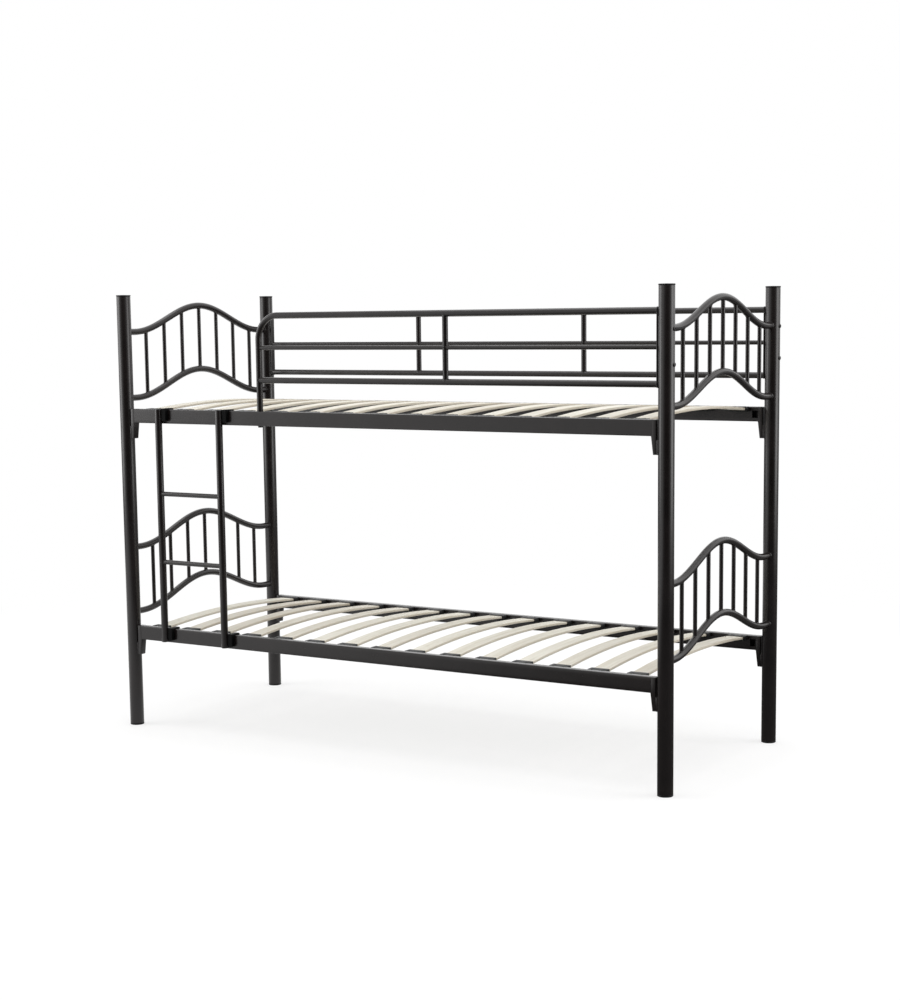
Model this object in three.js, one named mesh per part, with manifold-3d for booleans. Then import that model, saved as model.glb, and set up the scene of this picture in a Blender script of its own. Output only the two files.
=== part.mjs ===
// A tubular steel bunk bed with a hook-on ladder.
// Millimetres, +Z up. X runs along the bed, the ladder is at the front (-Y), and the floor is at z = 0.
import * as THREE from "three";
import { mergeVertices } from "three/addons/utils/BufferGeometryUtils.js";
import Module from "manifold-3d";

const wasm = await Module();
wasm.setup();

// ---- Driving dimensions -------------------------------------------------------------------------

const CLEARANCE = 0.3; // between pieces that touch
const WELD = 2; // how far one tube is let into another where they are welded

// The bed as a whole
const POST_SPACING_X = 2046; // between post axes, along the bed
const POST_SPACING_Y = 803; // between post axes, across the bed
const BED_HEIGHT = 1500; // floor to the top of the caps

// Corner posts, with a plastic foot below and a plastic cap above
const POST_DIAMETER = 48;
const POST_WALL = 2;
const POST_SIDES = 16;
const FOOT_THICKNESS = 6;
const CAP_THICKNESS = 5;
const CAP_OVERHANG = 0.6; // past the tube all round
const PLUG_LENGTH = 28; // of the foot or cap, inside the tube
const END_PIECE_EDGE = 1; // the small bevel round a foot or a cap

// Side rails: a rectangular tube with a hook plate at each end
const RAIL_HEIGHT = 48;
const RAIL_THICKNESS = 25;
const RAIL_WALL = 2;
const POST_ABOVE_UPPER_RAIL = 389; // from the upper rails' top to the top of the caps
const LOWER_RAIL_TOP = 355;
const HOOK_PLATE_WIDTH = 16.5;
const HOOK_PLATE_FOOT_WIDTH = 10; // narrower at its lower end
const HOOK_PLATE_DROP = 54; // below the rail
const HOOK_PLATE_STANDOFF = 3; // from the post to the plate
const WINDOW_LENGTH = 20; // the opening in the rail's inner wall beside each hook plate
const WINDOW_HEIGHT = 24;
const SOCKET_DROP = 11; // from the rail's underside to the top of the post's socket
const TONGUE_WIDTH = 7.4; // of the rail's tongue in that socket
const TONGUE_LENGTH = 34;

// Sprung slats and their end holders
const SLATS_PER_DECK = 15;
const END_SLAT_INSET = 103; // from the post axis to the first slat's middle
const SLAT_WIDTH = 53;
const SLAT_THICKNESS = 8;
const SLAT_RISE = 20; // of the middle above the ends
const SLAT_SEGMENTS = 8;
const HOLDER_CHEEK = 3.5; // from the slat's edge to the holder's outside
const HOLDER_LENGTH = 30;
const HOLDER_WALL = 2.2;
const HOLDER_RISE = 0.5; // of its top above the rail

// End panels: two bent tubes joined by spindles
const PANEL_TUBE_DIAMETER = 22;
const PANEL_TUBE_SIDES = 8;
const PANEL_TUBE_STEPS = 20;
const HUMP_RISE = 92;
const HUMP_WIDTH = 700;
const SPINDLE_DIAMETER = 13;
const SPINDLE_COUNT = 7;
const SPINDLE_PITCH = 97;
const PANEL_ABOVE_RAIL = { upper: 35, lower: 44 }; // from a rail's top to the lower tube at the posts
const PANEL_TUBE_SPACING = 227; // from the lower tube to the upper one

// Guard rails of the upper bunk
const GUARD_TUBE_DIAMETER = 20;
const GUARD_MIDDLE_DIAMETER = 14;
const GUARD_UPRIGHT_DIAMETER = 18;
const GUARD_BARS_ABOVE_RAIL = { top: 313, middle: 208, bottom: 102 }; // to their centre lines
const GUARD_END_BAR = { thickness: 4, width: 20, overshoot: 11 };
const REAR_UPRIGHT_INSET = 687; // from the post axis
const FRONT_LEG_INSET = 577.5; // from the left post axis
const FRONT_CORNER_RADIUS = 78;
const LEG_BOLT_DIAMETER = 8;
const LEG_BOLT_HOLE = 9;
const LEG_BOLT_HEAD = { across: 14, height: 5 };
const LEG_BOLT_GRIP = 16; // of the shank inside the leg

// Ladder
const STILE_DIAMETER = 24;
// Each stile's hooks hang in a gap between two slat holders: the stile stands a little before the
// gap's middle. Gap 1 is the one between the first and the second slat.
const STILE_PLACES = [
  { gap: 1, beforeMiddle: 7.2 },
  { gap: 3, beforeMiddle: 8.6 },
];
const STILE_BELOW_LOWER_RAIL = 43; // from the lower rail's top to the stile's end
const RUNG_DIAMETER = 16;
const RUNG_COUNT = 2;
const TOP_STEP = 287; // from the last rung to the upper rail's top
const LADDER_GAP = 0.6; // from the rails' outer face to the stiles
const HOOK = { width: 20, height: 40, depth: 14, thickness: 4, lip: 10 };

// ---- Derived places -----------------------------------------------------------------------------

const HALF_X = POST_SPACING_X / 2;
const POST_RADIUS = POST_DIAMETER / 2;
const RAIL_FACE = RAIL_THICKNESS / 2;
const STILE_Y = -(RAIL_FACE + LADDER_GAP + STILE_DIAMETER / 2);
const FRONT_EDGE = STILE_Y - STILE_DIAMETER / 2;
const REAR_EDGE = POST_SPACING_Y + POST_RADIUS + CAP_OVERHANG;
const MIDDLE_Y = (FRONT_EDGE + REAR_EDGE) / 2;
const UPPER_RAIL_TOP = BED_HEIGHT - POST_ABOVE_UPPER_RAIL;
const DECKS = { upper: UPPER_RAIL_TOP, lower: LOWER_RAIL_TOP };
const GUARD_TOP = UPPER_RAIL_TOP + GUARD_BARS_ABOVE_RAIL.top;
const GUARD_MIDDLE = UPPER_RAIL_TOP + GUARD_BARS_ABOVE_RAIL.middle;
const GUARD_BOTTOM = UPPER_RAIL_TOP + GUARD_BARS_ABOVE_RAIL.bottom;
const SLAT_PITCH = (POST_SPACING_X - 2 * END_SLAT_INSET) / (SLATS_PER_DECK - 1);

// ---- Helpers ------------------------------------------------------------------------------------

function toSolid(geometry) {
  const bare = new THREE.BufferGeometry();
  const flat = geometry.index ? geometry.toNonIndexed() : geometry;
  bare.setAttribute("position", flat.getAttribute("position"));
  const merged = mergeVertices(bare, 1e-4);
  return new wasm.Manifold(
    new wasm.Mesh({
      numProp: 3,
      vertProperties: new Float32Array(merged.attributes.position.array),
      triVerts: new Uint32Array(merged.index.array),
    }),
  );
}

function toGeometry(solid) {
  const mesh = solid.getMesh();
  const geometry = new THREE.BufferGeometry();
  geometry.setAttribute("position", new THREE.BufferAttribute(mesh.vertProperties, 3));
  geometry.setIndex(new THREE.BufferAttribute(mesh.triVerts, 1));
  return geometry;
}

const joined = (geometries) => geometries.map(toSolid).reduce((a, b) => a.add(b));
const without = (solid, geometries) => geometries.map(toSolid).reduce((a, b) => a.subtract(b), solid);

// A box from its lowest and highest corners.
function block([x0, y0, z0], [x1, y1, z1]) {
  const box = new THREE.BoxGeometry(x1 - x0, y1 - y0, z1 - z0);
  return box.translate((x0 + x1) / 2, (y0 + y1) / 2, (z0 + z1) / 2);
}

function uprightRod(radius, x, y, z0, z1, sides = 8) {
  const rod = new THREE.CylinderGeometry(radius, radius, z1 - z0, sides);
  return rod.rotateX(Math.PI / 2).translate(x, y, (z0 + z1) / 2);
}

function rodAlongX(radius, y, z, x0, x1, sides = 10) {
  const rod = new THREE.CylinderGeometry(radius, radius, x1 - x0, sides);
  return rod.rotateZ(Math.PI / 2).translate((x0 + x1) / 2, y, z);
}

function roundSection(radius, sides) {
  const corners = Array.from({ length: sides }, (_, i) => {
    const angle = ((i + 0.5) * 2 * Math.PI) / sides;
    return new THREE.Vector2(radius * Math.cos(angle), radius * Math.sin(angle));
  });
  return new THREE.Shape(corners);
}

function bentTube(curve, radius, steps, sides) {
  const settings = { steps, extrudePath: curve, bevelEnabled: false };
  return new THREE.ExtrudeGeometry(roundSection(radius, sides), settings);
}

const blackSteel = () =>
  new THREE.MeshStandardMaterial({ color: 0x2e2c2d, roughness: 0.42, metalness: 0.25 });
const blackPlastic = () =>
  new THREE.MeshStandardMaterial({ color: 0x141415, roughness: 0.55, metalness: 0 });
const paleBirch = () =>
  new THREE.MeshStandardMaterial({ color: 0xe9dfca, roughness: 0.6, metalness: 0 });

function named(name, geometry, material, x = 0, y = 0, z = 0) {
  const mesh = new THREE.Mesh(geometry, material);
  mesh.name = name;
  mesh.position.set(x, y, z);
  return mesh;
}

// ---- Corner posts -------------------------------------------------------------------------------

// The socket welded to a post for one rail's tongue, on the post's +X side.
function socketSolids(railTop) {
  const railBottom = railTop - RAIL_HEIGHT;
  const reach = POST_RADIUS + HOOK_PLATE_STANDOFF - CLEARANCE;
  const low = railBottom - HOOK_PLATE_DROP;
  const high = railBottom - SOCKET_DROP;
  const body = block([0, -RAIL_FACE, low], [reach, RAIL_FACE, high]);
  const slotHalf = TONGUE_WIDTH / 2 + CLEARANCE;
  const slotFloor = high - TONGUE_LENGTH - CLEARANCE;
  const slot = block([POST_RADIUS, -slotHalf, slotFloor], [reach + 1, slotHalf, high + 1]);
  return { body, slot };
}

function postGeometry() {
  const bottom = FOOT_THICKNESS + CLEARANCE;
  const top = BED_HEIGHT - CAP_THICKNESS - CLEARANCE;
  const sockets = Object.values(DECKS).map(socketSolids);
  const tube = uprightRod(POST_RADIUS, 0, 0, bottom, top, POST_SIDES);
  const bore = uprightRod(POST_RADIUS - POST_WALL, 0, 0, bottom - 1, top + 1, POST_SIDES);
  const outside = joined([tube, ...sockets.map((socket) => socket.body)]);
  return toGeometry(without(outside, [bore, ...sockets.map((socket) => socket.slot)]));
}

// A foot or a cap: a disc with a plug that fits in the tube. The disc's outer face is at z = 0.
function endPieceGeometry(thickness, discRadius) {
  const plugRadius = POST_RADIUS - POST_WALL - CLEARANCE;
  const edge = END_PIECE_EDGE;
  const outline = [
    [0, 0],
    [discRadius - edge, 0],
    [discRadius, edge],
    [discRadius, thickness],
    [plugRadius, thickness],
    [plugRadius, thickness + PLUG_LENGTH],
    [0, thickness + PLUG_LENGTH],
  ].map(([r, z]) => new THREE.Vector2(r, z));
  return new THREE.LatheGeometry(outline, POST_SIDES).rotateX(Math.PI / 2);
}

function addPosts(bed) {
  const post = postGeometry();
  const foot = endPieceGeometry(FOOT_THICKNESS, POST_RADIUS);
  const cap = endPieceGeometry(CAP_THICKNESS, POST_RADIUS + CAP_OVERHANG);
  for (const [side, y] of [["front", 0], ["rear", POST_SPACING_Y]]) {
    for (const [end, x, turn] of [["left", -HALF_X, 0], ["right", HALF_X, Math.PI]]) {
      const postMesh = named(`post_${side}_${end}`, post, blackSteel(), x, y);
      postMesh.rotation.z = turn;
      const capMesh = named(`post_cap_${side}_${end}`, cap, blackPlastic(), x, y, BED_HEIGHT);
      capMesh.rotation.x = Math.PI;
      bed.add(postMesh, capMesh, named(`foot_${side}_${end}`, foot, blackPlastic(), x, y));
    }
  }
}

// ---- Side rails with their slat holders ---------------------------------------------------------

const SLAT_END_Y = RAIL_FACE + HOLDER_WALL + CLEARANCE;
const SLAT_HALF_SPAN = POST_SPACING_Y / 2 - SLAT_END_Y;
const SLAT_RADIUS = (SLAT_HALF_SPAN ** 2 + SLAT_RISE ** 2) / (2 * SLAT_RISE);
const HOLDER_MOUTH_Y = RAIL_FACE + HOLDER_LENGTH;

// Height of a slat's underside above its ends, at a distance y from the rail's middle plane.
function slatLift(y) {
  const fromMiddle = POST_SPACING_Y / 2 - y;
  return Math.sqrt(SLAT_RADIUS ** 2 - fromMiddle ** 2) - (SLAT_RADIUS - SLAT_RISE);
}

const SLAT_TOP_AT_MOUTH = HOLDER_RISE - HOLDER_WALL - CLEARANCE; // from the rail's top
const SLAT_SEAT = SLAT_TOP_AT_MOUTH - slatLift(HOLDER_MOUTH_Y) - SLAT_THICKNESS;

// One holder, its pocket open towards the middle of the bed. z = 0 is the rail's top.
function holderSolids(x) {
  const half = SLAT_WIDTH / 2 + HOLDER_CHEEK;
  const floor = SLAT_SEAT - CLEARANCE - HOLDER_WALL;
  const body = block([x - half, RAIL_FACE - RAIL_WALL / 2, floor], [x + half, HOLDER_MOUTH_Y, HOLDER_RISE]);
  const pocketHalf = SLAT_WIDTH / 2 + CLEARANCE;
  const pocket = block(
    [x - pocketHalf, RAIL_FACE + HOLDER_WALL, SLAT_SEAT - CLEARANCE],
    [x + pocketHalf, HOLDER_MOUTH_Y + 1, HOLDER_RISE - HOLDER_WALL],
  );
  return { body, pocket };
}

// The plate and tongue at the rail's left end. z = 0 is the rail's top.
function hookPlateSolids() {
  const x0 = -HALF_X + POST_RADIUS + HOOK_PLATE_STANDOFF;
  const x1 = x0 + HOOK_PLATE_WIDTH;
  const foot = -RAIL_HEIGHT - HOOK_PLATE_DROP;
  const outline = new THREE.Shape();
  outline.moveTo(x0, 0);
  outline.lineTo(x0, foot);
  outline.lineTo(x0 + HOOK_PLATE_FOOT_WIDTH, foot);
  outline.lineTo(x1, -RAIL_HEIGHT);
  outline.lineTo(x1, 0);
  const plate = new THREE.ExtrudeGeometry(outline, { depth: RAIL_THICKNESS, bevelEnabled: false });
  plate.rotateX(Math.PI / 2).translate(0, RAIL_FACE, 0);
  const tongueTop = -RAIL_HEIGHT - SOCKET_DROP;
  const tongue = block(
    [-HALF_X + POST_RADIUS + CLEARANCE, -TONGUE_WIDTH / 2, tongueTop - TONGUE_LENGTH],
    [x0 + WELD, TONGUE_WIDTH / 2, tongueTop],
  );
  const windowLow = (-RAIL_HEIGHT - WINDOW_HEIGHT) / 2;
  const window = block(
    [x1, 0, windowLow],
    [x1 + WINDOW_LENGTH, RAIL_FACE + 1, windowLow + WINDOW_HEIGHT],
  );
  return { plate, tongue, window };
}

const halfTurned = (geometry) => geometry.clone().rotateZ(Math.PI);

// The front rail, its inner side towards +Y. The holes take the guard's leg bolt, where there is one.
function railGeometry(boltX) {
  const ends = hookPlateSolids();
  const tubeEnd = HALF_X - POST_RADIUS - HOOK_PLATE_STANDOFF - HOOK_PLATE_WIDTH + WELD;
  const tube = block([-tubeEnd, -RAIL_FACE, -RAIL_HEIGHT], [tubeEnd, RAIL_FACE, 0]);
  const hollowEnd = tubeEnd - WELD;
  const inside = RAIL_FACE - RAIL_WALL;
  const hollow = block([-hollowEnd, -inside, -RAIL_HEIGHT + RAIL_WALL], [hollowEnd, inside, -RAIL_WALL]);
  const holders = Array.from({ length: SLATS_PER_DECK }, (_, i) =>
    holderSolids(-HALF_X + END_SLAT_INSET + i * SLAT_PITCH),
  );
  const plates = [ends.plate, halfTurned(ends.plate), ends.tongue, halfTurned(ends.tongue)];
  const windows = [ends.window, ends.window.clone().translate(2 * hollowEnd - WINDOW_LENGTH, 0, 0)];
  const body = joined([tube, ...plates]);
  const withHolders = without(body, [hollow, ...windows]).add(joined(holders.map((one) => one.body)));
  const cuts = holders.map((one) => one.pocket);
  if (boltX !== undefined) {
    cuts.push(uprightRod(LEG_BOLT_HOLE / 2, boltX, 0, -RAIL_HEIGHT - 1, 1));
  }
  return toGeometry(without(withHolders, cuts));
}

function addRails(bed) {
  const plain = railGeometry();
  const bolted = railGeometry(-HALF_X + FRONT_LEG_INSET);
  for (const [deck, top] of Object.entries(DECKS)) {
    const frontShape = deck === "upper" ? bolted : plain;
    bed.add(named(`side_rail_${deck}_front`, frontShape, blackSteel(), 0, 0, top));
    const rear = named(`side_rail_${deck}_rear`, plain, blackSteel(), 0, POST_SPACING_Y, top);
    rear.rotation.z = Math.PI;
    bed.add(rear);
  }
}

// ---- Slats --------------------------------------------------------------------------------------

// An arched strip across the bed. z = 0 is the underside of its ends, y = 0 the middle of its span.
function slatGeometry() {
  const bend = Math.asin(SLAT_HALF_SPAN / (SLAT_RADIUS + SLAT_THICKNESS));
  const centre = SLAT_RISE - SLAT_RADIUS;
  const outline = new THREE.Shape();
  outline.absarc(0, centre, SLAT_RADIUS, Math.PI / 2 + bend, Math.PI / 2 - bend, true);
  outline.absarc(0, centre, SLAT_RADIUS + SLAT_THICKNESS, Math.PI / 2 - bend, Math.PI / 2 + bend, false);
  const settings = { depth: SLAT_WIDTH, bevelEnabled: false, curveSegments: SLAT_SEGMENTS };
  const strip = new THREE.ExtrudeGeometry(outline, settings);
  // The outline is drawn in the plane of Y and Z, and pushed out along X.
  return strip.rotateX(Math.PI / 2).rotateZ(Math.PI / 2).translate(-SLAT_WIDTH / 2, 0, 0);
}

function addSlats(bed) {
  const slat = slatGeometry();
  for (const [deck, top] of Object.entries(DECKS)) {
    for (let i = 0; i < SLATS_PER_DECK; i++) {
      const name = `slat_${deck}_${String(i + 1).padStart(2, "0")}`;
      const x = -HALF_X + END_SLAT_INSET + i * SLAT_PITCH;
      bed.add(named(name, slat, paleBirch(), x, POST_SPACING_Y / 2, top + SLAT_SEAT));
    }
  }
}

// ---- End panels ---------------------------------------------------------------------------------

// Height of a panel tube above its ends, at a distance from the middle of the bed's width.
function humpHeight(fromMiddle) {
  const share = Math.min(Math.abs(fromMiddle) / (HUMP_WIDTH / 2), 1);
  return (HUMP_RISE * (1 + Math.cos(Math.PI * share))) / 2;
}

class HumpCurve extends THREE.Curve {
  constructor(height) {
    super();
    this.height = height;
  }

  getPoint(t, target = new THREE.Vector3()) {
    const y = t * POST_SPACING_Y;
    return target.set(0, y, this.height + humpHeight(y - POST_SPACING_Y / 2));
  }
}

// Both tubes stop at the posts' round faces, which the post-sized cuts shape.
function panelGeometry(lowTube) {
  const highTube = lowTube + PANEL_TUBE_SPACING;
  const tubes = [lowTube, highTube].map((height) =>
    bentTube(new HumpCurve(height), PANEL_TUBE_DIAMETER / 2, PANEL_TUBE_STEPS, PANEL_TUBE_SIDES),
  );
  const spindles = Array.from({ length: SPINDLE_COUNT }, (_, i) => {
    const fromMiddle = (i - (SPINDLE_COUNT - 1) / 2) * SPINDLE_PITCH;
    const rise = humpHeight(fromMiddle);
    const y = POST_SPACING_Y / 2 + fromMiddle;
    return uprightRod(SPINDLE_DIAMETER / 2, 0, y, lowTube + rise, highTube + rise, 6);
  });
  const reach = PANEL_TUBE_DIAMETER;
  const posts = [0, POST_SPACING_Y].map((y) =>
    uprightRod(POST_RADIUS + CLEARANCE, 0, y, lowTube - reach, highTube + reach, POST_SIDES),
  );
  return toGeometry(without(joined([...tubes, ...spindles]), posts));
}

function addPanels(bed) {
  for (const [deck, railTop] of Object.entries(DECKS)) {
    const panel = panelGeometry(railTop + PANEL_ABOVE_RAIL[deck]);
    bed.add(named(`end_panel_${deck}_left`, panel, blackSteel(), -HALF_X));
    bed.add(named(`end_panel_${deck}_right`, panel, blackSteel(), HALF_X));
  }
}

// ---- Guard rails --------------------------------------------------------------------------------

const GUARD_REACH = HALF_X - POST_RADIUS - CLEARANCE; // outer face of an end bar

function guardEndBar(side) {
  const { thickness, width, overshoot } = GUARD_END_BAR;
  const faces = [side * GUARD_REACH, side * (GUARD_REACH - thickness)].sort((a, b) => a - b);
  const low = GUARD_BOTTOM - overshoot;
  const high = GUARD_TOP + overshoot;
  return block([faces[0], -width / 2, low], [faces[1], width / 2, high]);
}

function guardBars(fromX, toX, topFromX = fromX) {
  const frame = GUARD_TUBE_DIAMETER / 2;
  return [
    rodAlongX(frame, 0, GUARD_BOTTOM, fromX, toX),
    rodAlongX(GUARD_MIDDLE_DIAMETER / 2, 0, GUARD_MIDDLE, fromX, toX, 8),
    rodAlongX(frame, 0, GUARD_TOP, topFromX, toX),
  ];
}

const guardUpright = (x) => uprightRod(GUARD_UPRIGHT_DIAMETER / 2, x, 0, GUARD_BOTTOM, GUARD_TOP);

function rearGuardGeometry() {
  const barEnd = GUARD_REACH - GUARD_END_BAR.thickness / 2;
  const uprightX = HALF_X - REAR_UPRIGHT_INSET;
  const pieces = [guardEndBar(-1), guardEndBar(1), guardUpright(-uprightX), guardUpright(uprightX)];
  return toGeometry(joined([...guardBars(-barEnd, barEnd), ...pieces]));
}

const LEG_X = -HALF_X + FRONT_LEG_INSET;

// The bend that turns the top bar down into the leg: a quarter circle.
class CornerCurve extends THREE.Curve {
  getPoint(t, target = new THREE.Vector3()) {
    const angle = Math.PI - (t * Math.PI) / 2;
    const x = LEG_X + FRONT_CORNER_RADIUS * (1 + Math.cos(angle));
    return target.set(x, 0, GUARD_TOP - FRONT_CORNER_RADIUS * (1 - Math.sin(angle)));
  }
}

// The front guard stops at its leg, and leaves the way onto the ladder open.
function frontGuardGeometry() {
  const barEnd = GUARD_REACH - GUARD_END_BAR.thickness / 2;
  const radius = GUARD_TUBE_DIAMETER / 2;
  const bendStart = GUARD_TOP - FRONT_CORNER_RADIUS;
  const legFoot = UPPER_RAIL_TOP + CLEARANCE;
  const pieces = [
    guardEndBar(1),
    guardUpright((LEG_X + barEnd) / 2),
    uprightRod(radius, LEG_X, 0, legFoot, bendStart + WELD, 10),
    bentTube(new CornerCurve(), radius, 5, 10),
  ];
  const bars = guardBars(LEG_X, barEnd, LEG_X + FRONT_CORNER_RADIUS - WELD);
  const boltBore = uprightRod(
    LEG_BOLT_DIAMETER / 2 + CLEARANCE,
    LEG_X,
    0,
    legFoot - 1,
    UPPER_RAIL_TOP + LEG_BOLT_GRIP + CLEARANCE,
  );
  return toGeometry(without(joined([...bars, ...pieces]), [boltBore]));
}

function legBoltGeometry() {
  const underside = UPPER_RAIL_TOP - RAIL_HEIGHT - CLEARANCE;
  const { across, height } = LEG_BOLT_HEAD;
  const head = uprightRod(across / Math.sqrt(3), LEG_X, 0, underside - height, underside, 6);
  const tip = UPPER_RAIL_TOP + LEG_BOLT_GRIP;
  const shank = uprightRod(LEG_BOLT_DIAMETER / 2, LEG_X, 0, underside - 1, tip);
  return toGeometry(joined([head, shank]));
}

function addGuards(bed) {
  bed.add(named("guard_rail_rear", rearGuardGeometry(), blackSteel(), 0, POST_SPACING_Y));
  bed.add(named("guard_rail_front", frontGuardGeometry(), blackSteel()));
  bed.add(named("guard_leg_bolt", legBoltGeometry(), blackSteel()));
}

// ---- Ladder -------------------------------------------------------------------------------------

// Half millimetres are near enough for a welded frame.
const STILES_X = STILE_PLACES.map(({ gap, beforeMiddle }) => {
  const inset = END_SLAT_INSET + (gap - 0.5) * SLAT_PITCH - beforeMiddle;
  return -HALF_X + Math.round(2 * inset) / 2;
});
// The rungs share what the tall last step leaves, in steps of whole millimetres.
const RUNG_PITCH = Math.round((UPPER_RAIL_TOP - TOP_STEP - LOWER_RAIL_TOP) / RUNG_COUNT);

function ladderFrameGeometry() {
  const stiles = STILES_X.map((x) =>
    uprightRod(STILE_DIAMETER / 2, x, STILE_Y, LOWER_RAIL_TOP - STILE_BELOW_LOWER_RAIL, UPPER_RAIL_TOP, 12),
  );
  const rungs = Array.from({ length: RUNG_COUNT }, (_, i) => {
    const z = UPPER_RAIL_TOP - TOP_STEP - (RUNG_COUNT - 1 - i) * RUNG_PITCH;
    return rodAlongX(RUNG_DIAMETER / 2, STILE_Y, z, ...STILES_X);
  });
  return toGeometry(joined([...stiles, ...rungs]));
}

// A hook beside a stile: a block in front of the rail, with a finger over the rail's top.
// x = 0 is the stile's axis and z = 0 the rail's top.
function ladderHookGeometry() {
  const x0 = STILE_DIAMETER / 2 + CLEARANCE;
  const x1 = x0 + HOOK.width;
  const innerFace = -(RAIL_FACE + CLEARANCE);
  const over = HOOK.thickness + CLEARANCE;
  const back = RAIL_FACE + CLEARANCE;
  const front = block([x0, innerFace - HOOK.depth, -HOOK.height], [x1, innerFace, over]);
  const finger = block([x0, innerFace - 1, CLEARANCE], [x1, back + HOOK.thickness, over]);
  const lip = block([x0, back, -HOOK.lip], [x1, back + HOOK.thickness, over]);
  return toGeometry(joined([front, finger, lip]));
}

function addLadder(bed) {
  const hook = ladderHookGeometry();
  bed.add(named("ladder_frame", ladderFrameGeometry(), blackSteel()));
  for (const [deck, top] of Object.entries(DECKS)) {
    bed.add(named(`ladder_hook_${deck}_left`, hook, blackPlastic(), STILES_X[0], 0, top));
    bed.add(named(`ladder_hook_${deck}_right`, hook, blackPlastic(), STILES_X[1], 0, top));
  }
}

// ---- The whole bed ------------------------------------------------------------------------------

// Inside this group y = 0 is the front posts' plane. The group moves the bed's middle to the origin.
const bed = new THREE.Group();
bed.position.y = -MIDDLE_Y;
addPosts(bed);
addRails(bed);
addSlats(bed);
addPanels(bed);
addGuards(bed);
addLadder(bed);

const bunkBed = new THREE.Group();
bunkBed.add(bed);

export default bunkBed;
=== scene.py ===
import math
import random

import bmesh
import bpy
from mathutils import Matrix, Vector


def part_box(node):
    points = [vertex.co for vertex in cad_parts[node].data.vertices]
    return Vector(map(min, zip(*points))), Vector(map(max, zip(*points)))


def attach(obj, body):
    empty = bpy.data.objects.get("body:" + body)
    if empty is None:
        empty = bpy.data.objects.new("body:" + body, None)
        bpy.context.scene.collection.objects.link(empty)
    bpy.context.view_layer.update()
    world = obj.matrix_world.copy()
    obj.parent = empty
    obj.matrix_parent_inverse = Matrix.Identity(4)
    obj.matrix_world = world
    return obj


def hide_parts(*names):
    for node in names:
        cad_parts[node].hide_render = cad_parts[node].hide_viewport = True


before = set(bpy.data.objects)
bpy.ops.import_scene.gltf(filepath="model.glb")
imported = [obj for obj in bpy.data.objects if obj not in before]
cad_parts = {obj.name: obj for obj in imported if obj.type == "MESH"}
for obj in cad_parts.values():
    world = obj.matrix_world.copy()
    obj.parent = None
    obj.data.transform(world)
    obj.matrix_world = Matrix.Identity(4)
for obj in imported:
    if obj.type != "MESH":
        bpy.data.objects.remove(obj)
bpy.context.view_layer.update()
random.seed(11)


# ---- Corner posts --------------------------------------------------------------------------------
# Round steel tube in one length from floor to top, powder coated black like all the bed's steel.
# Two slotted sockets, one for each side rail's tongue, are welded to its inner side.
POST_RADIUS = 0.024
POST_WALL = 0.002
RAIL_HEIGHT = 0.048
RAIL_THICKNESS = 0.025
HOOK_DROP = 0.054  # of a rail's hook plate, below the rail
SOCKET_DROP = 0.011  # from a rail's underside to the top of its socket
SLOT_WIDTH = 0.008
SLOT_DEPTH = 0.0343
SAWN_EDGE = 0.0004  # the chamfer that takes the burr off a sawn end
SOCKET_EDGE = 0.0007
SOCKET_ROOT = 0.021  # from the post's axis to where the socket starts, inside the tube's wall
CUTTER_EXCESS = 0.01  # of the piece that cuts the slot, past the socket
WELD_RADIUS = 0.0014
SEAM_RIPPLES = 16
SEAM_SWELLS = (1.25, 0.8)  # from one drop of the weld to the dip before the next
SHARP_ANGLE = math.radians(35)  # steeper edges than this are shaded sharp
COAT_DARK = (0.0078, 0.0056, 0.0054)
COAT_LIGHT = (0.0145, 0.0110, 0.0106)


def deselect_all():
    bpy.ops.object.select_all(action="DESELECT")


def settled(name):
    """The object that was just added, under its own name, with its place moved into its mesh."""
    piece = bpy.context.object
    piece.name = name
    piece.data.name = name
    bpy.ops.object.transform_apply(location=True, rotation=True, scale=True)
    return piece


def block(name, low, high):
    """A box from its lowest and highest corners."""
    low, high = Vector(low), Vector(high)
    bpy.ops.mesh.primitive_cube_add(size=1, location=(low + high) / 2, scale=high - low)
    return settled(name)


def make_active(piece):
    deselect_all()
    piece.select_set(True)
    bpy.context.view_layer.objects.active = piece


def shape_with(piece, kind, **settings):
    """Adds a modifier to a piece, sets it and applies it."""
    make_active(piece)
    modifier = piece.modifiers.new(kind.title(), kind)
    for setting, value in settings.items():
        setattr(modifier, setting, value)
    bpy.ops.object.modifier_apply(modifier=modifier.name)


def cut(piece, cutter):
    shape_with(piece, "BOOLEAN", operation="DIFFERENCE", solver="EXACT", object=cutter)
    bpy.data.objects.remove(cutter)


def copied(piece, name, place):
    """A copy with its own mesh, moved by a matrix."""
    twin = piece.copy()
    twin.data = piece.data.copy()
    twin.name = name
    twin.data.name = name
    twin.data.transform(place)
    bpy.context.collection.objects.link(twin)
    return twin


def joined(name, pieces):
    """Welds pieces into one object."""
    make_active(pieces[0])
    for piece in pieces:
        piece.select_set(True)
    bpy.ops.object.join()
    welded = bpy.context.object
    welded.name = name
    welded.data.name = name
    return welded


def finished(piece, finish):
    """Gives a piece its finish and smooth shading up to its sharp edges."""
    make_active(piece)
    bpy.ops.object.shade_smooth_by_angle(angle=SHARP_ANGLE)
    piece.data.materials.clear()
    piece.data.materials.append(finish)


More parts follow.
